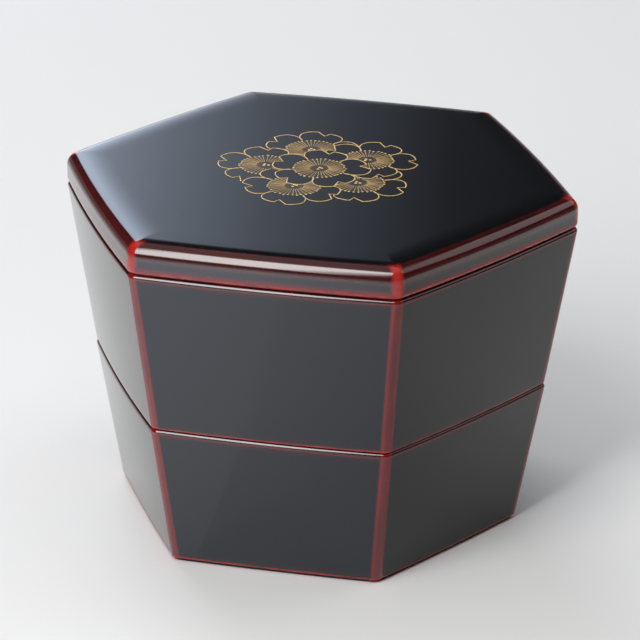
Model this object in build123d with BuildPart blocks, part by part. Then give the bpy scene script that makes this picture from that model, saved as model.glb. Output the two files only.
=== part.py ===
"""Two-tier hexagonal lunch box: a lid on an upper tier on a lower tier, walls flaring upwards.

Millimetres, +Z up. The origin is on the ground at the middle of the lower tier's foot, and two of the
six corners lie on the X axis. Every radius runs from the middle of the box to the sharp corner that
two walls would make, and every inset is measured square to a wall.
"""

from build123d import *
import os
from dataclasses import dataclass
from math import cos, pi

SIDES = 6

# Heights of the pieces
FOOT_HEIGHT = 1.2           # lower tier's set-back foot
LOWER_WALL_HEIGHT = 57.0
UPPER_WALL_HEIGHT = 65.2
LID_HEIGHT = 13.0

# Corner radii of the outside, and how far each side bulges at its middle
FOOT_RADIUS = 79.4
FOOT_BOW = 0.7
SEAM_RADIUS = 89.8
SEAM_BOW = 1.4
RIM_RADIUS = 100.3
RIM_BOW = 1.6
SEAM_STEP = 0.4             # upper tier starts this far inside the lower tier's rim
FOOT_STEP = 1.2             # foot ring starts this far inside the wall above it

# Thicknesses and depths
WALL = 3.6
FLOOR = 3.0
FOOT_RING_WIDTH = 4.0
NEST_DEPTH = 3.5            # upper tier's foot ring reaches this far into the lower tier
LID_TOP = 3.4
LIP_DEPTH = 4.0             # lid's lip reaches this far into the upper tier
LIP_WIDTH = 2.4
FIT_CLEARANCE = 0.4         # between a nested step and the mouth around it

# Roundings
CORNER_ROUNDING = 3.5       # upright corners, outside
INNER_CORNER_ROUNDING = 5.0
LID_CORNER_ROUNDING = 5.2
LID_EDGE_ROUNDING = 5.0
LID_LOWER_ROUNDING = 2.2
FLOOR_ROUNDING = 3.0        # inside, where a wall meets the floor
CEILING_ROUNDING = 3.5      # inside the lid, where its wall meets its top
RIM_ROUNDING = 1.4          # a tier's rim, outside
MOUTH_ROUNDING = 0.9        # and inside
WALL_FOOT_ROUNDING = 1.1


@dataclass
class Level:
    """One horizontal outline: its height, corner radius and bow."""

    height: float
    radius: float
    bow: float

    def inset(self, distance):
        """The outline this far inside, measured square to a wall."""
        return Level(self.height, self.radius - distance / cos(pi / SIDES), self.bow)

    def towards(self, other, height):
        """The outline at this height on the straight walls from this level to the other."""
        share = (height - self.height) / (other.height - self.height)
        radius = self.radius + share * (other.radius - self.radius)
        return Level(height, radius, self.bow + share * (other.bow - self.bow))

    def at(self, height):
        """The same outline at another height."""
        return Level(height, self.radius, self.bow)

    @property
    def plane(self):
        return Plane.XY.offset(self.height)


class BowedHexagon(BaseSketchObject):
    """A hexagon with corners on the X axis, slightly bulging sides and rounded corners."""

    def __init__(self, level, rounding, mode=Mode.ADD):
        corners = [Vector(level.radius, 0).rotate(Axis.Z, 360 / SIDES * i) for i in range(SIDES)]
        with BuildSketch() as outline:
            with BuildLine():
                for start, end in zip(corners, corners[1:] + corners[:1]):
                    SagittaArc(start, end, -level.bow)
            make_face()
            fillet(outline.vertices(), rounding)
        super().__init__(obj=outline.sketch, mode=mode)


class HexagonLoft(BasePartObject):
    """The solid between two levels, its walls straight from one to the other."""

    def __init__(self, low, high, rounding, mode=Mode.ADD):
        with BuildPart() as solid:
            for level in (low, high):
                with BuildSketch(level.plane):
                    BowedHexagon(level, rounding)
            loft(ruled=True)
        super().__init__(part=solid.part, mode=mode)


class TierShell(BasePartObject):
    """Flared walls and a floor, open at the top, with every edge rounded."""

    def __init__(self, foot, rim, floor, mouth, mode=Mode.ADD):
        with BuildPart() as shell:
            HexagonLoft(foot, rim, CORNER_ROUNDING)
            fillet(edges_at(shell, foot.height), WALL_FOOT_ROUNDING)
            HexagonLoft(floor, mouth, INNER_CORNER_ROUNDING, mode=Mode.SUBTRACT)
            fillet(shell.faces().sort_by(Axis.Z)[-1].outer_wire().edges(), RIM_ROUNDING)
            fillet(shell.faces().sort_by(Axis.Z)[-1].inner_wires()[0].edges(), MOUTH_ROUNDING)
            fillet(edges_at(shell, floor.height), FLOOR_ROUNDING)
        super().__init__(part=shell.part, mode=mode)


def edges_at(part, height):
    """The part's edges that lie flat at this height."""
    return part.edges().filter_by_position(Axis.Z, height, height)


# Levels of the outside walls, from the ground up
lower_foot = Level(FOOT_HEIGHT, FOOT_RADIUS, FOOT_BOW)
lower_rim = Level(lower_foot.height + LOWER_WALL_HEIGHT, SEAM_RADIUS, SEAM_BOW)
upper_foot = lower_rim.inset(SEAM_STEP)
upper_rim = Level(upper_foot.height + UPPER_WALL_HEIGHT, RIM_RADIUS, RIM_BOW)
lid_crown = upper_rim.at(upper_rim.height + LID_HEIGHT)

# Levels of the cavities
lower_floor = lower_foot.towards(lower_rim, lower_foot.height + FLOOR).inset(WALL)
lower_mouth = lower_rim.inset(WALL)
upper_floor = upper_foot.towards(upper_rim, upper_foot.height + FLOOR).inset(WALL)
upper_mouth = upper_rim.inset(WALL)
lid_ceiling = lid_crown.height - LID_TOP

# The upper tier's foot ring follows the lower tier's cavity wall, and the lid's lip the upper tier's
nest_top = lower_mouth.inset(FIT_CLEARANCE)
nest_bottom = lower_mouth.towards(lower_floor, lower_rim.height - NEST_DEPTH).inset(FIT_CLEARANCE)
lip_top = upper_mouth.inset(FIT_CLEARANCE)
lip_bottom = upper_mouth.towards(upper_floor, upper_rim.height - LIP_DEPTH).inset(FIT_CLEARANCE)

with BuildPart() as lower_tier:
    TierShell(lower_foot, lower_rim, lower_floor, lower_mouth)
    # Foot ring, with a shallow recess under the floor inside it
    with BuildSketch(lower_foot.plane):
        BowedHexagon(lower_foot.inset(FOOT_STEP), CORNER_ROUNDING)
        BowedHexagon(lower_foot.inset(FOOT_STEP + FOOT_RING_WIDTH), CORNER_ROUNDING, mode=Mode.SUBTRACT)
    extrude(amount=-FOOT_HEIGHT)

with BuildPart() as upper_tier:
    TierShell(upper_foot, upper_rim, upper_floor, upper_mouth)
    # Nesting ring, which drops into the lower tier's mouth
    HexagonLoft(nest_bottom, nest_top, INNER_CORNER_ROUNDING)
    with BuildSketch(nest_bottom.plane):
        BowedHexagon(nest_bottom.inset(FOOT_RING_WIDTH), INNER_CORNER_ROUNDING)
    extrude(amount=NEST_DEPTH, mode=Mode.SUBTRACT)

with BuildPart() as lid:
    with BuildSketch(upper_rim.plane):
        BowedHexagon(upper_rim, LID_CORNER_ROUNDING)
    extrude(amount=LID_HEIGHT)
    fillet(edges_at(lid, lid_crown.height), LID_EDGE_ROUNDING)
    fillet(edges_at(lid, upper_rim.height), LID_LOWER_ROUNDING)
    # Lip, which drops into the upper tier's mouth
    HexagonLoft(lip_bottom, lip_top, INNER_CORNER_ROUNDING)
    # Hollow underside
    with BuildSketch(lip_bottom.plane):
        BowedHexagon(lip_bottom.inset(LIP_WIDTH), INNER_CORNER_ROUNDING)
    extrude(amount=lid_ceiling - lip_bottom.height, mode=Mode.SUBTRACT)
    fillet(edges_at(lid, lid_ceiling), CEILING_ROUNDING)

os.makedirs("parts", exist_ok=True)
lower_tier.part.label = "lower_tier"
export_step(lower_tier.part, "parts/lower_tier.step")
upper_tier.part.label = "upper_tier"
export_step(upper_tier.part, "parts/upper_tier.step")
lid.part.label = "lid"
export_step(lid.part, "parts/lid.step")
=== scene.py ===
"""The looks of a two-tier hexagonal lacquer lunch box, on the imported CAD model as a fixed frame.

Shapes are worked out in millimetres, in the frame of the CAD model, and scaled to metres where a mesh
is made. "Reach" is the distance from the box's axis square to a wall, before the wall's bow.
"""

from collections import namedtuple
from math import atan2, cos, pi, radians, sin, sqrt, tan

import bpy
import numpy as np
from mathutils import Matrix, Vector


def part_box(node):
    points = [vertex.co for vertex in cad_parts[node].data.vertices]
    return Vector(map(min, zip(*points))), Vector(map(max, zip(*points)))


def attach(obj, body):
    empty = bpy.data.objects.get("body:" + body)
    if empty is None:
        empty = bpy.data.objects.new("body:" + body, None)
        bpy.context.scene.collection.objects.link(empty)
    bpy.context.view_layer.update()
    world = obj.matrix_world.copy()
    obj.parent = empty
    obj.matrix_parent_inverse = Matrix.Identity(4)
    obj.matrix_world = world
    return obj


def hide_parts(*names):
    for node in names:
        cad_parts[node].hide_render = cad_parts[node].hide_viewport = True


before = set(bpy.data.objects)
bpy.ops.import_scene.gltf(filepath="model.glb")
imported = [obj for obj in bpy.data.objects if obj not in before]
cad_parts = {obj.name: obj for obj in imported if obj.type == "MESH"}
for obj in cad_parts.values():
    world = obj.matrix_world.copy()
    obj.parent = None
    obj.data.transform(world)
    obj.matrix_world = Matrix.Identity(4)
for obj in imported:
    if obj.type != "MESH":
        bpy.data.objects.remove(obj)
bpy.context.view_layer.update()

MM = 0.001                                # a millimetre in metres
SIDES = 6
HALF_TURN = pi / SIDES                    # from a corner to the middle of a side
COS_HALF = cos(HALF_TURN)


def millimetres(length):
    return length / MM


# Heights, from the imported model
SEAM_Z = millimetres(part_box("lower_tier")[1].z)
NEST_Z = millimetres(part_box("upper_tier")[0].z)
RIM_Z = millimetres(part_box("upper_tier")[1].z)
LIP_Z = millimetres(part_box("lid")[0].z)
TOP_Z = millimetres(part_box("lid")[1].z)

# Reaches, bows and thicknesses, as the CAD model has them
FOOT_Z = 1.2
FOOT_REACH = 79.4 * COS_HALF
SEAM_REACH = 89.8 * COS_HALF
RIM_REACH = 100.3 * COS_HALF
SEAM_STEP = 0.4
FOOT_STEP = 1.2
FOOT_BOW = 0.7
SEAM_BOW = 1.4
RIM_BOW = 1.6
WALL = 3.6
FLOOR = 3.0
RING_WIDTH = 4.0
LID_TOP = 3.4
LIP_WIDTH = 2.4
CLEARANCE = 0.4

# Roundings
CORNER_ROUNDING = 3.5
INNER_CORNER_ROUNDING = 5.0
LID_CORNER_ROUNDING = 5.3
LID_EDGE_ROUNDING = 5.0
LID_LOWER_ROUNDING = 2.2
SHOULDER_WIDTH = 12.0                     # the lid's top eases down over this width, then rounds over
SHOULDER_DROP = 0.8
SHOULDER_POWER = 3                        # the drop falls off as this power of the way left to go
PAINT_DEPTH = 0.2                         # the painted blossoms rise this much above the bare top
FLOOR_ROUNDING = 3.0
CEILING_ROUNDING = 3.5
RIM_ROUNDING = 1.4
MOUTH_ROUNDING = 0.9
WALL_FOOT_ROUNDING = 1.1
RING_ROUNDING = 0.35
SHARPEST_CORNER = 0.7                     # least rounding left where an outline is set far inwards

SHOULDER_STEPS = 20
SHOULDER_START = 0.05                     # share of the shoulder where its curve takes over from the edge

# Mesh fineness
CORNER_STEPS = 12
SIDE_STEPS = 44
ARC_STEPS = 9
LONGEST_STEP = 3.0

# A corner of a profile: its reach and height, the plan rounding there, and how much it is rounded over
Corner = namedtuple("Corner", "reach height rounding edge", defaults=(0.0,))


# ---------------------------------------------------------------- shells

def heading(angle):
    """The unit vector at this angle, in radians."""
    return np.array([cos(angle), sin(angle)])


def outline(reach, bow, rounding):
    """Points round a bowed hexagon with rounded corners, and each one's distance from its corner."""
    half_side = reach * tan(HALF_TURN)
    side_radius = (half_side ** 2 + bow ** 2) / (2 * bow)
    side_centre = reach + bow - side_radius
    reach_to_rounding = side_radius - rounding
    spread = reach_to_rounding ** 2 - (side_centre * sin(HALF_TURN)) ** 2
    corner_centre = side_centre * COS_HALF + sqrt(spread)
    turn = abs(atan2(side_centre * sin(HALF_TURN), corner_centre - side_centre * COS_HALF))
    points, distances = [], []
    for side in range(SIDES):
        middle = 2 * HALF_TURN * side
        for angle in np.linspace(-turn, turn, CORNER_STEPS + 1):
            points.append(corner_centre * heading(middle) + rounding * heading(middle + angle))
            distances.append(rounding * abs(angle))
        normal = middle + HALF_TURN
        half_arc = HALF_TURN - turn
        for angle in np.linspace(-half_arc, half_arc, SIDE_STEPS + 1)[1:-1]:
            points.append(side_centre * heading(normal) + side_radius * heading(normal + angle))
            distances.append(rounding * turn + side_radius * (half_arc - abs(angle)))
    return np.array(points), np.array(distances)


def rounded_profile(corners):
    """The profile as points (reach, height, plan rounding), its corners rounded over and long runs divided,
    and where the middle of each corner is in it."""
    flat = [np.array([c.reach, c.height]) for c in corners]
    points = [(*flat[0], corners[0].rounding)]
    middles = [0]
    for i in range(1, len(corners) - 1):
        here, edge = flat[i], corners[i].edge
        middles.append(len(points) + (ARC_STEPS // 2 if edge else 0))
        if not edge:
            points.append((*here, corners[i].rounding))
            continue
        back = (flat[i - 1] - here) / np.linalg.norm(flat[i - 1] - here)
        ahead = (flat[i + 1] - here) / np.linalg.norm(flat[i + 1] - here)
        half_angle = np.arccos(back @ ahead) / 2
        centre = here + (back + ahead) / np.linalg.norm(back + ahead) * edge / sin(half_angle)
        start = here + back * edge / tan(half_angle) - centre
        end = here + ahead * edge / tan(half_angle) - centre
        sweep = pi - 2 * half_angle
        for share in np.linspace(0, 1, ARC_STEPS + 1):
            arm = (sin((1 - share) * sweep) * start + sin(share * sweep) * end) / sin(sweep)
            reach, height = centre + arm
            points.append((reach, height, corners[i].rounding + reach - here[0]))
    middles.append(len(points))
    points.append((*flat[-1], corners[-1].rounding))
    fine, places = [np.array(points[0])], [0]
    for end in map(np.array, points[1:]):
        start = fine[-1]
        parts = max(1, int(np.ceil(np.linalg.norm(end[:2] - start[:2]) / LONGEST_STEP)))
        fine += [start + (end - start) * k / parts for k in range(1, parts + 1)]
        places.append(len(fine) - 1)
    return np.array(fine), [places[m] for m in middles]


def wall_reach(height):
    """Reach of the outside walls at this height."""
    return np.interp(height, [FOOT_Z, SEAM_Z, RIM_Z], [FOOT_REACH, SEAM_REACH, RIM_REACH])


def bow_at(reach, height):
    """A side's bow: the wall's own bow at this height, less nearer the axis."""
    bow = np.interp(height, [FOOT_Z, SEAM_Z, RIM_Z], [FOOT_BOW, SEAM_BOW, RIM_BOW])
    return bow * min(1.0, reach / wall_reach(height)) ** 2


def shell(name, corners, lower_edge, upper_edge, inside, materials):
    """A closed hexagonal shell on this profile. lower_edge and upper_edge say which corners of the profile
    are its outside edges, and the faces between the two corners of inside take the second material. Each
    point keeps its distance from the upright corners and from both edges, and how far past the edges it
    lies, in millimetres, for the lacquer to wear by."""
    profile, middles = rounded_profile(corners)
    steps = np.linalg.norm(np.diff(profile[:, :2], axis=0), axis=1)
    run = np.concatenate([[0], np.cumsum(steps)])
    points, corner_mm, ring_of = [(0, 0, profile[0][1])], [LONGEST_STEP], [0]
    for ring, (reach, height, rounding) in enumerate(profile[1:-1], start=1):
        around, distances = outline(reach, bow_at(reach, height), max(rounding, SHARPEST_CORNER))
        points += [(x, y, height) for x, y in around]
        corner_mm += list(distances)
        ring_of += [ring] * len(around)
    points.append((0, 0, profile[-1][1]))
    corner_mm.append(LONGEST_STEP)
    ring_of.append(len(profile) - 1)

    count, last = len(around), len(points) - 1
    faces, face_rings = [], []
    for i in range(count):
        after = (i + 1) % count
        faces.append((0, 1 + after, 1 + i))
        face_rings.append(0)
        for ring in range(len(profile) - 3):
            low, high = 1 + ring * count, 1 + (ring + 1) * count
            faces.append((low + i, low + after, high + after, high + i))
            face_rings.append(ring + 1)
        faces.append((high + i, high + after, last))
        face_rings.append(len(profile) - 2)

    mesh = bpy.data.meshes.new(name)
    mesh.from_pydata([Vector(p) * MM for p in points], [], faces)
    for material in materials:
        mesh.materials.append(material)
    first, past = middles[inside[0]], middles[inside[1]]
    mesh.polygons.foreach_set("material_index", [int(first <= ring < past) for ring in face_rings])
    mesh.polygons.foreach_set("use_smooth", [True] * len(faces))
    from_edges = run[ring_of]
    keep(mesh, "corner_mm", corner_mm)
    keep(mesh, "lower_mm", abs(from_edges - run[middles[lower_edge]]))
    keep(mesh, "upper_mm", abs(from_edges - run[middles[upper_edge]]))
    before, beyond = run[middles[lower_edge]] - from_edges, from_edges - run[middles[upper_edge]]
    keep(mesh, "past_mm", np.maximum(0, np.maximum(before, beyond)))
    return add_object(name, mesh)


def keep(mesh, name, values):
    """Stores one number for each point of the mesh."""
    attribute = mesh.attributes.new(name, "FLOAT", "POINT")
    attribute.data.foreach_set("value", np.asarray(values, np.float32))


def add_object(name, data):
    made = bpy.data.objects.new(name, data)
    bpy.context.scene.collection.objects.link(made)
    return made


def tier_corners(foot_z, foot_reach, rim_z, rim_reach, ring_z, ring_reaches):
    """A tier's profile from the middle of its underside, out under its foot ring, up the wall, over the
    rim and down inside to the middle of its floor. ring_reaches are the ring's inside, its outside at the
    bottom and its outside at the top."""
    ring_inside, ring_foot, ring_top = ring_reaches
    floor_z = foot_z + FLOOR
    floor_reach = np.interp(floor_z, [foot_z, rim_z], [foot_reach, rim_reach]) - WALL
    plan, inner = CORNER_ROUNDING, INNER_CORNER_ROUNDING
    return [
        Corner(0, foot_z, plan),
        Corner(ring_inside, foot_z, plan, RING_ROUNDING),
        Corner(ring_inside, ring_z, plan, RING_ROUNDING),
        Corner(ring_foot, ring_z, plan, RING_ROUNDING),
        Corner(ring_top, foot_z, plan),
        Corner(foot_reach, foot_z, plan, WALL_FOOT_ROUNDING),
        Corner(rim_reach, rim_z, plan, RIM_ROUNDING),
        Corner(rim_reach - WALL, rim_z, inner, MOUTH_ROUNDING),
        Corner(floor_reach, floor_z, inner, FLOOR_ROUNDING),
        Corner(0, floor_z, inner),
    ]


# Which corners of tier_corners, and of the lid's profile, are the outside edges and bound the inside
TIER_LOWER_EDGE, TIER_UPPER_EDGE, TIER_INSIDE = 5, 6, (7, 9)
LID_LOWER_EDGE, LID_UPPER_EDGE, LID_INSIDE = 5, 6, (0, 2)


def lower_tier(materials):
    ring = FOOT_REACH - FOOT_STEP
    corners = tier_corners(FOOT_Z, FOOT_REACH, SEAM_Z, SEAM_REACH, 0.0, (ring - RING_WIDTH, ring, ring))
    return shell("lower_tier_shell", corners, TIER_LOWER_EDGE, TIER_UPPER_EDGE, TIER_INSIDE, materials)


def upper_tier(materials):
    foot_reach = SEAM_REACH - SEAM_STEP
    top = SEAM_REACH - WALL - CLEARANCE
    bottom = wall_reach(NEST_Z) - WALL - CLEARANCE
    corners = tier_corners(SEAM_Z, foot_reach, RIM_Z, RIM_REACH, NEST_Z, (bottom - RING_WIDTH, bottom, top))
    return shell("upper_tier_shell", corners, TIER_LOWER_EDGE, TIER_UPPER_EDGE, TIER_INSIDE, materials)


def lid(materials):
    """The lid's profile from the middle of its underside, down inside its lip, out over the rim below, up
    the side, over the edge and along the shoulder to the middle of the top."""
    side = RIM_REACH
    lip_top = RIM_REACH - WALL - CLEARANCE
    lip_bottom = wall_reach(LIP_Z) - WALL - CLEARANCE
    hollow = lip_bottom - LIP_WIDTH
    ceiling = TOP_Z - LID_TOP
    bare_top = TOP_Z - PAINT_DEPTH
    shoulder_slope = SHOULDER_POWER * SHOULDER_DROP / SHOULDER_WIDTH
    turned = pi / 2 - atan2(shoulder_slope, 1)
    shoulder = side - LID_EDGE_ROUNDING * tan(turned / 2) * cos(pi / 2 - turned)
    edge_z = bare_top - SHOULDER_DROP - shoulder_slope * (side - shoulder)
    inner, plan, sharp = INNER_CORNER_ROUNDING, LID_CORNER_ROUNDING, SHARPEST_CORNER
    corners = [
        Corner(0, ceiling, inner),
        Corner(hollow, ceiling, inner, CEILING_ROUNDING),
        Corner(hollow, LIP_Z, inner, RING_ROUNDING),
        Corner(lip_bottom, LIP_Z, inner, RING_ROUNDING),
        Corner(lip_top, RIM_Z, inner),
        Corner(side, RIM_Z, plan, LID_LOWER_ROUNDING),
        Corner(side, edge_z, plan, LID_EDGE_ROUNDING),
    ]
    for share in np.linspace(SHOULDER_START, 1, SHOULDER_STEPS):
        drop = SHOULDER_DROP * (1 - share) ** SHOULDER_POWER
        corners.append(Corner(shoulder - share * SHOULDER_WIDTH, bare_top - drop, sharp))
    corners.append(Corner(0, bare_top, sharp))
    return shell("lid_shell", corners, LID_LOWER_EDGE, LID_UPPER_EDGE, LID_INSIDE, materials)


# ---------------------------------------------------------------- materials

class Graph:
    """Builds a material's nodes. Every method returns the socket that carries its result."""

    def __init__(self, name):
        self.material = bpy.data.materials.new(name)
        self.material.use_nodes = True
        self.tree = self.material.node_tree
        self.shader = self.tree.nodes["Principled BSDF"]

    def node(self, kind, settings=(), **inputs):
        made = self.tree.nodes.new(kind)
        for key, value in dict(settings).items():
            setattr(made, key, value)
        for key, value in inputs.items():
            self.feed(made.inputs[key.replace("_", " ")], value)
        return made

    def feed(self, socket, value):
        if isinstance(value, bpy.types.NodeSocket):
            self.tree.links.new(value, socket)
        else:
            socket.default_value = value

    def math(self, operation, *values):
        made = self.node("ShaderNodeMath", {"operation": operation})
        for socket, value in zip(made.inputs, values):
            self.feed(socket, value)
        return made.outputs[0]

    def kept(self, name):
        return self.node("ShaderNodeAttribute", {"attribute_name": name}).outputs["Fac"]

    def place(self):
        return self.node("ShaderNodeTexCoord").outputs["Object"]

    def noise(self, scale, detail=3.0, roughness=0.5, vector=None):
        made = self.node("ShaderNodeTexNoise", Scale=scale, Detail=detail, Roughness=roughness)
        self.feed(made.inputs["Vector"], vector or self.place())
        return made.outputs["Fac"]

    def fade(self, value, near, far, most=1.0):
        """most on the near side, nothing from far on, and smooth between."""
        made = self.node("ShaderNodeMapRange", {"interpolation_type": "SMOOTHSTEP"})
        for socket, number in zip(made.inputs, (value, near, far, most, 0.0)):
            self.feed(socket, number)
        return made.outputs[0]

    def most(self, *values):
        result = values[0]
        for value in values[1:]:
            result = self.math("MAXIMUM", result, value)
        return result

    def mix(self, share, first, second):
        made = self.node("ShaderNodeMix", {"data_type": "RGBA"})
        self.feed(made.inputs["Factor"], share)
        colours = [s for s in made.inputs if s.type == "RGBA"]
        for socket, colour in zip(colours, (first, second)):
            self.feed(socket, colour if isinstance(colour, bpy.types.NodeSocket) else (*colour, 1))
        return next(s for s in made.outputs if s.type == "RGBA")

    def bump(self, height, distance, strength=1.0):
        made = self.node("ShaderNodeBump", Height=height, Distance=distance, Strength=strength)
        self.feed(self.shader.inputs["Normal"], made.outputs[0])

    def set(self, **inputs):
        for key, value in inputs.items():
            self.feed(self.shader.inputs[key.replace("_", " ")], value)


# Colours are linear
BLACK = (0.0030, 0.0029, 0.0038)
DEEP_RED = (0.16, 0.0090, 0.0080)
BRIGHT_RED = (0.42, 0.022, 0.016)
INSIDE_REDS = (0.23, 0.013, 0.010), (0.30, 0.018, 0.013)
GOLDS = (0.70, 0.43, 0.12), (1.0, 0.70, 0.27)
MIDDLE_DARK = (0.005, 0.0045, 0.0045)
MIDDLE_GOLD = (0.11, 0.060, 0.020)
FILM_BLACKS = (0.0032, 0.0030, 0.0036), (0.006, 0.005, 0.0045)
PAPERS = (0.79, 0.785, 0.78), (0.82, 0.815, 0.81)

LACQUER_ROUGHNESS = 0.11
LACQUER_IOR = 1.46
INSIDE_ROUGHNESS = 0.22
FILM_ROUGHNESS = 0.13
RIPPLE = 0.00002                          # depth of the lacquer's faint unevenness, in metres

# Noise scales, in turns to a metre
STREAK_SCALE = 230.0
CLOUD_SCALE = 45.0
RIPPLE_SCALE = 70.0
TARNISH_SCALE = 420.0

# How the red shows along an edge: the name of the distances from it, how far from it the lines lie, their
# half width and most red, how far the deep red is even and how far it reaches, and the most there is of it
Wear = namedtuple("Wear", "kept centre line line_red even halo halo_red")
WEAR_PAST = (3.0, 5.5)                    # past the outside edges the red fades out between these distances
LINE_WANDER = 0.35                        # how far a line strays to and fro, in millimetres
LINE_CORE, LINE_SKIRT = 0.4, 1.6          # shares of its half width that are even and that it fades out over


def lacquer(name, wears, blotches):
    """Black lacquer rubbed through to red as wears says. blotches is how uneven the red is, 0 to 1."""
    g = Graph(name)
    streaks = g.fade(g.noise(STREAK_SCALE, 4.0, 0.6), 0.62, 0.36)
    uneven = g.math("ADD", g.math("MULTIPLY", streaks, blotches), 1 - blotches)
    clouds = g.fade(g.noise(CLOUD_SCALE), 0.65, 0.35)
    wander = g.math("MULTIPLY", g.math("SUBTRACT", clouds, 0.5), LINE_WANDER)
    lines, halos = [], []
    for wear in wears:
        distance = g.kept(wear.kept)
        from_line = g.math("ABSOLUTE", g.math("ADD", g.math("SUBTRACT", distance, wear.centre), wander))
        lines.append(g.fade(from_line, wear.line * LINE_CORE, wear.line * LINE_SKIRT, wear.line_red))
        halos.append(g.fade(distance, wear.even, wear.halo, wear.halo_red))
    outside = g.fade(g.kept("past_mm"), *WEAR_PAST)
    halo = g.math("MULTIPLY", g.most(*halos), outside)
    line = g.math("MULTIPLY", g.most(*lines), outside)
    deep = g.math("MULTIPLY", halo, g.math("ADD", g.math("MULTIPLY", clouds, 0.3), 0.7))
    colour = g.mix(g.math("MULTIPLY", line, uneven), g.mix(deep, BLACK, DEEP_RED), BRIGHT_RED)
    g.set(Base_Color=colour, Roughness=LACQUER_ROUGHNESS, IOR=LACQUER_IOR)
    g.bump(g.noise(RIPPLE_SCALE, 1.0), RIPPLE, 0.25)
    return g.material


def inside_lacquer():
    """The plain red lacquer of the insides."""
    g = Graph("red_lacquer")
    colour = g.mix(g.noise(24.0), *INSIDE_REDS)
    g.set(Base_Color=colour, Roughness=INSIDE_ROUGHNESS, IOR=LACQUER_IOR)
    g.bump(g.noise(90.0, 1.0), RIPPLE, 0.3)
    return g.material


def gold_paint():
    """The raised gold of the lines, stamens and dots."""
    g = Graph("gold_paint")
    tarnish = g.noise(TARNISH_SCALE, 3.0, 0.6)
    g.set(Base_Color=g.mix(tarnish, *GOLDS), Metallic=0.1, Roughness=0.38)
    return g.material


def brushed_gold_and_painted_sheen():
    """The thin gold wash among a blossom's stamens, streaked outwards, with a painted sheen brightest on two
    sides.
    """
    g = Graph("brushed_gold_and_painted_sheen")
    spoke = g.node("ShaderNodeAttribute", {"attribute_name": "spoke"}).outputs["Vector"]
    streaks = g.fade(g.noise(1.0, 4.0, 0.65, spoke), 0.60, 0.40)
    # painted sheen: the gold is brightened where the disc faces left and right, a highlight painted into its
    # colour
    painted_sheen = g.math("ADD", g.math("MULTIPLY", g.kept("sheen_facing"), 0.85), 0.12)
    away_from_middle = g.fade(g.kept("out_mm"), 3.2, 0.6)
    gold_share_and_sheen = g.math("MULTIPLY", g.math("MULTIPLY", streaks, painted_sheen), away_from_middle)
    g.set(Base_Color=g.mix(gold_share_and_sheen, MIDDLE_DARK, MIDDLE_GOLD), Metallic=0.2, Roughness=0.38)
    return g.material


def petal_wash():
    """The clear film over each petal, barely browner than the lacquer under it."""
    g = Graph("petal_wash")
    g.set(Base_Color=g.mix(g.noise(60.0), *FILM_BLACKS), Roughness=FILM_ROUGHNESS, IOR=LACQUER_IOR)
    return g.material


# ---------------------------------------------------------------- blossoms

PETALS = 5
BLOSSOM_REACH = 19.1
STAMEN_REACH = 9.9
STAMENS = 36
RING_OF_BLOSSOMS = 20.6
ARRANGEMENT_X, ARRANGEMENT_Y = -0.8, 3.6
MIDDLE_TURN = 20                          # degrees
FIRST_IN_RING = 40                        # direction of the ring's first blossom, in degrees
RING_ORDER = (0, 3, 2, 4, 1)              # the ring's blossoms from the front one to the rearmost
RING_TURNS = (8, 50, 31, 64, 15)          # each one's own turn, in degrees

# A petal's side, as (reach, degrees from its middle line): it leaves the next petal, bellies and tips in
PETAL_JOIN = (STAMEN_REACH * 1.05, 180 / PETALS)
PETAL_BELLY = (14.0, 39)
PETAL_SHOULDER = 32
SHOULDER_PAST_TIP = 1.08
LONG_TIP, SHORT_TIP = (1.03, 8.5), (0.97, 6.5)
NOTCH_DEPTH = 0.82                        # share of the reach where the notch ends
NOTCH_LEAN = 2.5

LINE_HALF_WIDTH = 0.20
STAMEN_HALF_WIDTH = 0.10
STAMEN_START, STAMEN_END = 0.36, 0.93     # shares of its length where a stamen's line runs
STAMEN_POINTS = 8
MIDDLE_DOTS = 3
MIDDLE_DOT_RADIUS = 0.62
LINE_HEIGHT = 0.06
LAYER = 0.01
PAINT_Z = TOP_Z - PAINT_DEPTH
SHORTEST_RUN = 3                          # points
DISC_RAYS = 96
DISC_RINGS = 6
SPOKE_SPREAD = 9                          # how fast the brushing changes round a blossom, and outwards
SPOKE_STRETCH = 0.05
RIDGE = [(-1, -0.3), (-0.6, 0.62), (0, 1), (0.6, 0.62), (1, -0.3)]  # section of a painted line
DOME = [(1.0, -0.3), (0.82, 0.6), (0.4, 1.1)]                       # rings of a painted dot


def polar(reach, degrees):
    return reach * heading(radians(degrees))


def curve(points, steps=16):
    """A Bezier curve through its first and last points."""
    shares = np.linspace(0, 1, steps)[:, None]
    a, b, c, d = points
    rest = 1 - shares
    return a * rest ** 3 + 3 * b * rest ** 2 * shares + 3 * c * rest * shares ** 2 + d * shares ** 3


def petal(turn, long_side):
    """One petal's outline, from where it meets the petal before to where it meets the next. Its notch is
    hooked, with the longer lobe on the side long_side says, +1 or -1."""
    def side(sign):
        share, tip_angle = LONG_TIP if sign == long_side else SHORT_TIP
        tip = BLOSSOM_REACH * share
        stops = (PETAL_JOIN, PETAL_BELLY, (tip * SHOULDER_PAST_TIP, PETAL_SHOULDER), (tip, tip_angle))
        return curve([polar(reach, degrees * sign) for reach, degrees in stops])

    notch = polar(BLOSSOM_REACH * NOTCH_DEPTH, -NOTCH_LEAN * long_side)
    points = np.concatenate([side(-1), [notch], side(1)[::-1]])
    c, s = cos(turn), sin(turn)
    return points @ np.array([[c, s], [-s, c]])


class Blossom:
    """A blossom's place on the lid and its petals' outlines, in millimetres."""

    def __init__(self, x, y, turn):
        self.middle = np.array([x, y])
        self.turn = turn
        self.petals = []
        for k in range(PETALS):
            self.petals.append(petal(turn + 2 * pi * k / PETALS, 1 if k % 2 else -1) + self.middle)

    def covers(self, point):
        """Whether the point lies on the blossom."""
        if np.linalg.norm(point - self.middle) < STAMEN_REACH:
            return True
        return any(within(point, np.concatenate([[self.middle], edge])) for edge in self.petals)


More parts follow.
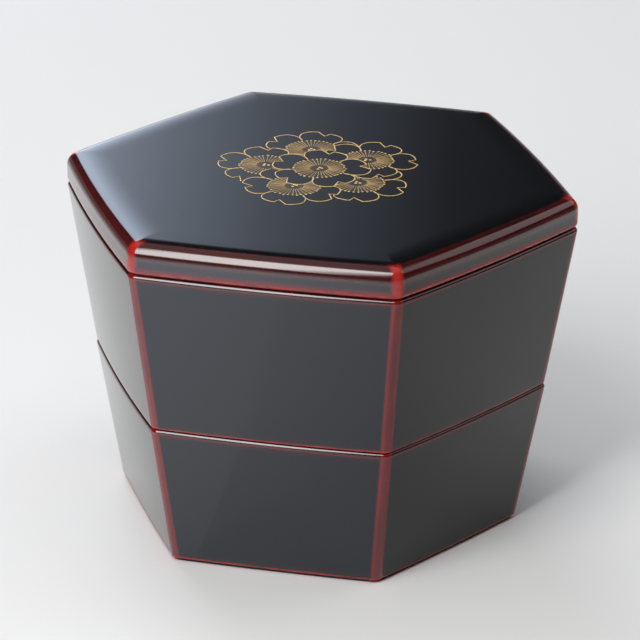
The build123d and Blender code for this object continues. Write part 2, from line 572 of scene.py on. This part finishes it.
def within(point, polygon):
    """Whether the point lies in the polygon, by how many edges a line from it crosses."""
    x, y = point
    ahead = np.roll(polygon, -1, axis=0)
    crosses = (polygon[:, 1] > y) != (ahead[:, 1] > y)
    rise = np.where(crosses, ahead[:, 1] - polygon[:, 1], 1)
    at = polygon[:, 0] + (y - polygon[:, 1]) / rise * (ahead[:, 0] - polygon[:, 0])
    return bool(np.count_nonzero(crosses & (x < at)) % 2)


def arrangement():
    """One blossom in the middle and a ring of five round it, the front ones first."""
    blossoms = [Blossom(ARRANGEMENT_X, ARRANGEMENT_Y, radians(MIDDLE_TURN))]
    for k, turn in zip(RING_ORDER, RING_TURNS):
        x, y = polar(RING_OF_BLOSSOMS, FIRST_IN_RING + 360 / len(RING_ORDER) * k)
        blossoms.append(Blossom(ARRANGEMENT_X + x, ARRANGEMENT_Y + y, radians(turn)))
    return blossoms


class Drawing:
    """Gathers closed solids into one mesh."""

    def __init__(self):
        self.points, self.faces = [], []

    def add(self, points, faces):
        base = len(self.points)
        self.points += [tuple(p) for p in points]
        self.faces += [tuple(base + i for i in face) for face in faces]

    def stroke(self, path, widths, level):
        """A low rounded ridge along the path, as wide at each point as widths says."""
        ahead = np.gradient(path, axis=0)
        ahead /= np.linalg.norm(ahead, axis=1)[:, None]
        across = np.stack([-ahead[:, 1], ahead[:, 0]], axis=1)
        points = []
        for at, side, width in zip(path, across, widths):
            for out, up in RIDGE:
                points.append((*(at + side * out * width), level + up * LINE_HEIGHT))
        size, faces = len(RIDGE), []
        for ring in range(len(path) - 1):
            for k in range(size):
                a, b = ring * size + k, ring * size + (k + 1) % size
                faces.append((a, b, b + size, a + size))
        faces.append(tuple(range(size))[::-1])
        faces.append(tuple(range((len(path) - 1) * size, len(path) * size)))
        self.add(points, faces)

    def dot(self, at, radius, level, sides=10):
        """A small dome."""
        points = []
        for share, up in DOME:
            for k in range(sides):
                x, y = at + radius * share * heading(2 * pi * k / sides)
                points.append((x, y, level + up * LINE_HEIGHT))
        faces = [tuple(range(sides))[::-1], tuple(range(2 * sides, 3 * sides))]
        for ring in (0, sides):
            for k in range(sides):
                after = (k + 1) % sides
                faces.append((ring + k, ring + after, ring + sides + after, ring + sides + k))
        self.add(points, faces)

    def slab(self, edge, level):
        """A flat film inside the edge, from just under the lid's surface up to this level."""
        count = len(edge)
        points = [(x, y, PAINT_Z - LAYER) for x, y in edge] + [(x, y, level) for x, y in edge]
        faces = [tuple(range(count))[::-1], tuple(range(count, 2 * count))]
        faces += [(k, (k + 1) % count, count + (k + 1) % count, count + k) for k in range(count)]
        self.add(points, faces)

    def make(self, name, material, smooth=True):
        mesh = bpy.data.meshes.new(name)
        mesh.from_pydata([Vector(p) * MM for p in self.points], [], self.faces)
        mesh.materials.append(material)
        mesh.polygons.foreach_set("use_smooth", [smooth] * len(self.faces))
        mesh.validate()
        return add_object(name, mesh)


def visible_runs(path, covering):
    """The stretches of the path that no covering blossom hides, as the numbers of their points."""
    run = []
    for index, point in enumerate(path):
        if not hidden(point, covering):
            run.append(index)
            continue
        if len(run) >= SHORTEST_RUN:
            yield np.array(run)
        run = []
    if len(run) >= SHORTEST_RUN:
        yield np.array(run)


def hidden(point, covering):
    return any(blossom.covers(point) for blossom in covering)


def draw_petals(blossom, covering, level, lines, films, chance):
    """A film and an outline for each petal. The outline swells and thins like a brush stroke."""
    for edge in blossom.petals:
        films.slab(np.concatenate([[blossom.middle], edge]), level)
        shares = np.linspace(0, 1, len(edge))
        waver = 0.12 * np.sin(9 * shares + chance.uniform(0, 6))
        widths = LINE_HALF_WIDTH * (0.65 + 0.55 * np.sin(pi * shares) ** 0.7 + waver)
        for run in visible_runs(edge, covering):
            lines.stroke(edge[run], widths[run], level + LAYER)


def draw_stamens(blossom, covering, level, lines, chance):
    """Fine lines outwards, a dot at the end of each, and a few dots in the middle."""
    for k in range(STAMENS):
        ray = heading(blossom.turn + 2 * pi * (k + chance.uniform(-0.12, 0.12)) / STAMENS)
        end = STAMEN_REACH * chance.uniform(0.96, 1.03)
        reaches = np.linspace(end * STAMEN_START, end * STAMEN_END, STAMEN_POINTS)
        path = blossom.middle + reaches[:, None] * ray
        for run in visible_runs(path, covering):
            lines.stroke(path[run], np.full(len(run), STAMEN_HALF_WIDTH), level)
        tip = blossom.middle + end * ray
        if not hidden(tip, covering):
            lines.dot(tip, chance.uniform(0.40, 0.52), level)
    for k in range(MIDDLE_DOTS):
        spot = blossom.middle + polar(1.0, 360 / MIDDLE_DOTS * k + chance.uniform(-25, 25))
        if not hidden(spot, covering):
            lines.dot(spot, MIDDLE_DOT_RADIUS, level)


def draw_blossoms():
    """The lines, the films under them and the brushed middles, as three pieces. A blossom further to the
    front lies a little higher."""
    chance = np.random.default_rng(7)
    blossoms = arrangement()
    lines, films = Drawing(), Drawing()
    brushed = []
    for order, blossom in enumerate(blossoms):
        level = PAINT_Z + LAYER * 2 * (len(blossoms) - order)
        covering = blossoms[:order]
        draw_petals(blossom, covering, level, lines, films, chance)
        draw_stamens(blossom, covering, level + LAYER, lines, chance)
        brushed.append((blossom.middle, level + LAYER / 2))
    return (
        lines.make("blossom_lines", gold_paint()),
        films.make("blossom_petals", petal_wash(), False),
        brushed_middles(brushed),
    )


def brushed_middles(places):
    """A thin disc in the middle of each blossom. Its points keep how far out they are, in millimetres, how
    far they face left or right, for the painted sheen, and a place in the noise that stays the same outwards
    along a spoke."""
    drawing, spokes, outs, sheen_facing = Drawing(), [], [], []
    top_reaches = np.linspace(0, STAMEN_REACH, DISC_RINGS + 1)[1:]
    for (x, y), level in places:
        points, faces = [(x, y, level), (x, y, PAINT_Z)], []
        spokes += [(0, 0, 0)] * 2
        outs += [0.0] * 2
        sheen_facing += [0.5] * 2
        for height, reaches in ((level, top_reaches), (PAINT_Z, [STAMEN_REACH])):
            for reach in reaches:
                for k in range(DISC_RAYS):
                    across, up = heading(2 * pi * k / DISC_RAYS)
                    points.append((x + reach * across, y + reach * up, height))
                    spokes.append((SPOKE_SPREAD * across + x, SPOKE_SPREAD * up + y, reach * SPOKE_STRETCH))
                    outs.append(reach)
                    # painted sheen: how far each point faces left or right, kept to brighten the gold there
                    # as a highlight would
                    sheen_facing.append(abs(across) ** 1.5)
        for k in range(DISC_RAYS):
            after = (k + 1) % DISC_RAYS
            faces.append((0, 2 + k, 2 + after))
            for ring in range(DISC_RINGS):
                a, b = 2 + ring * DISC_RAYS, 2 + (ring + 1) * DISC_RAYS
                faces.append((a + k, b + k, b + after, a + after))
            faces.append((1, b + after, b + k))
        drawing.add(points, faces)
    made = drawing.make("blossom_middles", brushed_gold_and_painted_sheen(), False)
    keep(made.data, "out_mm", outs)
    keep(made.data, "sheen_facing", sheen_facing)
    attribute = made.data.attributes.new("spoke", "FLOAT_VECTOR", "POINT")
    attribute.data.foreach_set("vector", np.asarray(spokes, np.float32).ravel())
    return made


# ---------------------------------------------------------------- studio

# Metres from here on
FLOOR_REACH = 2.6
FLOOR_FIRST_RING = 0.3
FLOOR_RINGS = 10
SWEEP_RADIUS = 0.8
SWEEP_TURN = 75                           # degrees
SWEEP_RINGS = 14
FLOOR_SEGMENTS = 96


def studio_floor():
    """A pale floor that curves up all round, far from the box."""
    g = Graph("paper")
    g.set(Base_Color=g.mix(g.noise(3.0, 2.0), *PAPERS), Roughness=0.85)
    profile = [(reach, 0.0) for reach in np.linspace(FLOOR_FIRST_RING, FLOOR_REACH, FLOOR_RINGS)]
    for turn in np.radians(np.linspace(5, SWEEP_TURN, SWEEP_RINGS)):
        profile.append((FLOOR_REACH + SWEEP_RADIUS * sin(turn), SWEEP_RADIUS * (1 - cos(turn))))
    points = [(0, 0, 0)]
    for reach, height in profile:
        for k in range(FLOOR_SEGMENTS):
            x, y = reach * heading(2 * pi * k / FLOOR_SEGMENTS)
            points.append((x, y, height))
    faces = []
    for k in range(FLOOR_SEGMENTS):
        after = (k + 1) % FLOOR_SEGMENTS
        faces.append((0, 1 + k, 1 + after))
        for ring in range(len(profile) - 1):
            a, b = 1 + ring * FLOOR_SEGMENTS, 1 + (ring + 1) * FLOOR_SEGMENTS
            faces.append((a + k, b + k, b + after, a + after))
    mesh = bpy.data.meshes.new("paper_floor")
    mesh.from_pydata(points, [], faces)
    mesh.materials.append(g.material)
    mesh.polygons.foreach_set("use_smooth", [True] * len(faces))
    add_object("paper_floor", mesh)


def softbox(name, place, target, size, radiance, lights_box=True, is_mirrored=True):
    """A light panel that faces the target. Radiance is how bright its face is, paper white being 1. A panel
    that doesn't light the box shows only in its lacquer, and one that isn't mirrored only lights."""
    width, height = size
    light = bpy.data.lights.new(name, "AREA")
    light.shape = "RECTANGLE"
    light.size, light.size_y = width, height
    light.energy = radiance * pi * width * height
    panel = add_object(name, light)
    panel.location = place
    panel.rotation_euler = (Vector(target) - Vector(place)).to_track_quat("-Z", "Y").to_euler()
    panel.visible_camera = False
    panel.visible_diffuse = lights_box
    panel.visible_glossy = is_mirrored
    return panel


def floor_card(name, x, y, height, size, radiance):
    """A panel that lies just above the floor and shows only in the lacquer."""
    return softbox(name, (x, y, height), (x, y, 1), size, radiance, lights_box=False)


def grade(panel, axis, socket, stops):
    """Grades a panel's Color or Strength along a world axis, by (place on the axis, colour) stops."""
    panel.data.use_nodes = True
    tree = panel.data.node_tree
    where = tree.nodes.new("ShaderNodeNewGeometry").outputs["Position"]
    split = tree.nodes.new("ShaderNodeSeparateXYZ")
    along = tree.nodes.new("ShaderNodeMapRange")
    ramp = tree.nodes.new("ShaderNodeValToRGB")
    first, last = stops[0][0], stops[-1][0]
    along.inputs["From Min"].default_value = first
    along.inputs["From Max"].default_value = last
    tree.links.new(where, split.inputs[0])
    tree.links.new(split.outputs[axis], along.inputs["Value"])
    tree.links.new(along.outputs[0], ramp.inputs[0])
    tree.links.new(ramp.outputs["Color"], tree.nodes["Emission"].inputs[socket])
    elements = ramp.color_ramp.elements
    while len(elements) < len(stops):
        elements.new(0.5)
    for element, (at, colour) in zip(elements, stops):
        element.position = (at - first) / (last - first)
        element.color = (*colour, 1)


def grey(brightness):
    return (brightness, brightness, brightness)


def cool(brightness):
    """The blue-grey of the far side of the room."""
    return (0.70 * brightness, 0.81 * brightness, brightness)


LIT_POINT = (0, 0, 0.1)                   # about the middle of the box
KEY_PLACE = Vector((-0.35, -0.97, 0.97))
LOW_CARD, HIGH_CARD = 0.002, 0.004        # heights of the cards, apart where they cross
ROOM = (0.03, 0.031, 0.033, 1)


def key_lights():
    """The main light, front left. Its reflection is brightest in the middle, so it is two more panels, each
    in front of the one before."""
    softbox("front_left_key", KEY_PLACE, LIT_POINT, (0.50, 1.15), 8.2, is_mirrored=False)
    softbox("shine_core", KEY_PLACE * 0.97, LIT_POINT, (0.42, 1.02), 9.0, lights_box=False)
    softbox("shine_skirt", KEY_PLACE * 0.94, LIT_POINT, (0.58, 1.20), 7.0, lights_box=False)


def back_left_wall():
    """The glow in the lid's top: a wall that darkens towards the right."""
    wall = softbox("back_left_wall", (-0.58, 1.6, 0.75), (-0.58, 0, 0.75), (1.16, 1.20), 4.0)
    grade(wall, "X", "Color", [
        (-1.16, cool(1.0)),
        (-0.80, cool(1.0)),
        (-0.60, cool(0.48)),
        (-0.52, cool(0.28)),
        (-0.43, cool(0.14)),
        (-0.36, cool(0.07)),
        (-0.27, cool(0.014)),
        (-0.18, cool(0.004)),
        (0.0, cool(0.0)),
    ])


def front_card():
    """What the front walls and the lid's front side mirror: brighter further out and to the left."""
    card = floor_card("front_card", -0.05, -0.333, LOW_CARD, (1.0, 0.534), 3.4)
    grade(card, "Y", "Color", [
        (-0.60, grey(0.0)),
        (-0.48, grey(0.7)),
        (-0.36, cool(0.7)),
        (-0.28, cool(0.42)),
        (-0.12, cool(0.36)),
        (-0.066, cool(0.31)),
    ])
    grade(card, "X", "Strength", [
        (-0.55, grey(0.0)),
        (-0.35, grey(0.15)),
        (-0.20, grey(1.0)),
        (-0.12, grey(1.0)),
        (0.10, grey(0.22)),
        (0.45, grey(0.0)),
    ])


def left_card():
    """What the left walls and the lid's left side mirror."""
    card = floor_card("left_card", -0.305, 0.0, HIGH_CARD, (0.55, 0.8), 0.56)
    grade(card, "X", "Color", [
        (-0.58, grey(0.0)),
        (-0.48, grey(1.0)),
        (-0.34, grey(1.0)),
        (-0.24, grey(0.25)),
        (-0.03, grey(0.25)),
    ])
    grade(card, "Y", "Strength", [
        (-0.40, grey(0.0)),
        (-0.25, grey(1.0)),
        (0.25, grey(1.0)),
        (0.40, grey(0.0)),
    ])


def right_card():
    """What the lid's right side mirrors, beyond what the right walls do."""
    card = floor_card("right_card", 0.75, 0.25, LOW_CARD, (0.90, 0.8), 0.9)
    grade(card, "X", "Color", [
        (0.30, grey(0.0)),
        (0.42, grey(1.0)),
        (0.90, grey(1.0)),
        (1.20, grey(0.0)),
    ])
    grade(card, "Y", "Strength", [
        (-0.15, grey(0.0)),
        (0.0, grey(1.0)),
        (0.50, grey(1.0)),
        (0.65, grey(0.0)),
    ])


def lights():
    key_lights()
    back_left_wall()
    softbox("ceiling", (0.0, 0.1, 1.7), LIT_POINT, (1.8, 1.8), 0.65, lights_box=False)
    softbox("back_right_wall", (1.05, 0.64, 1.0), LIT_POINT, (0.9, 0.7), 1.5)
    front_card()
    left_card()
    right_card()
    softbox("floor_wash", (-0.9, 1.1, 1.6), (-0.5, 0.9, 0), (1.0, 1.0), 4.2, is_mirrored=False)
    softbox("fill", (-0.2, 0.0, 2.2), (0, 0, 0), (2.6, 2.6), 0.92, is_mirrored=False)
    world = bpy.data.worlds.new("studio")
    world.use_nodes = True
    world.node_tree.nodes["Background"].inputs["Color"].default_value = ROOM
    bpy.context.scene.world = world
    bpy.context.scene.view_settings.view_transform = "Standard"


CAMERA_AZIMUTH = radians(13.322)
CAMERA_ELEVATION = radians(23.204)
CAMERA_DISTANCE = 1.4659
CAMERA_TARGET = Vector((-0.0012, 0.0081, 0.0716))
CAMERA_ROLL = radians(0.4207)
CAMERA_LENS = 212.45                      # millimetres, on the usual 36 mm sensor
CAMERA_NEAR = 0.05


def camera():
    """The camera of the photo, as fitted to the edges that it shows."""
    back = Vector((
        sin(CAMERA_AZIMUTH) * cos(CAMERA_ELEVATION),
        -cos(CAMERA_AZIMUTH) * cos(CAMERA_ELEVATION),
        sin(CAMERA_ELEVATION),
    ))
    data = bpy.data.cameras.new("camera")
    data.lens = CAMERA_LENS
    data.clip_start = CAMERA_NEAR
    made = add_object("camera", data)
    upright = (-back).to_track_quat("-Z", "Y").to_matrix().to_4x4()
    turned = upright @ Matrix.Rotation(CAMERA_ROLL, 4, "Z")
    made.matrix_world = Matrix.Translation(CAMERA_TARGET + back * CAMERA_DISTANCE) @ turned
    bpy.context.scene.camera = made


# ---------------------------------------------------------------- the scene

inside = inside_lacquer()
tier_lacquer = lacquer("tier_lacquer", (
    Wear("corner_mm", 1.8, 0.55, 0.15, 1.7, 3.0, 1.0),
    Wear("upper_mm", 1.2, 0.30, 0.25, 0.7, 4.0, 0.20),
    Wear("lower_mm", 0.3, 0.60, 1.00, 0.7, 4.0, 0.12),
), blotches=0.35)
lid_lacquer = lacquer("lid_lacquer", (
    Wear("corner_mm", 0.0, 1.9, 1.00, 1.5, 4.0, 1.0),
    Wear("upper_mm", 3.7, 0.5, 0.12, 1.0, 4.6, 0.4),
    Wear("lower_mm", 1.0, 0.7, 0.80, 1.8, 4.2, 0.9),
), blotches=0.6)

for piece, body in (
    (lid([lid_lacquer, inside]), "lid"),
    (lower_tier([tier_lacquer, inside]), "lower_tier"),
    (upper_tier([tier_lacquer, inside]), "upper_tier"),
):
    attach(piece, body)
    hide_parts(body)

for piece in draw_blossoms():
    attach(piece, "lid")

studio_floor()
lights()
camera()
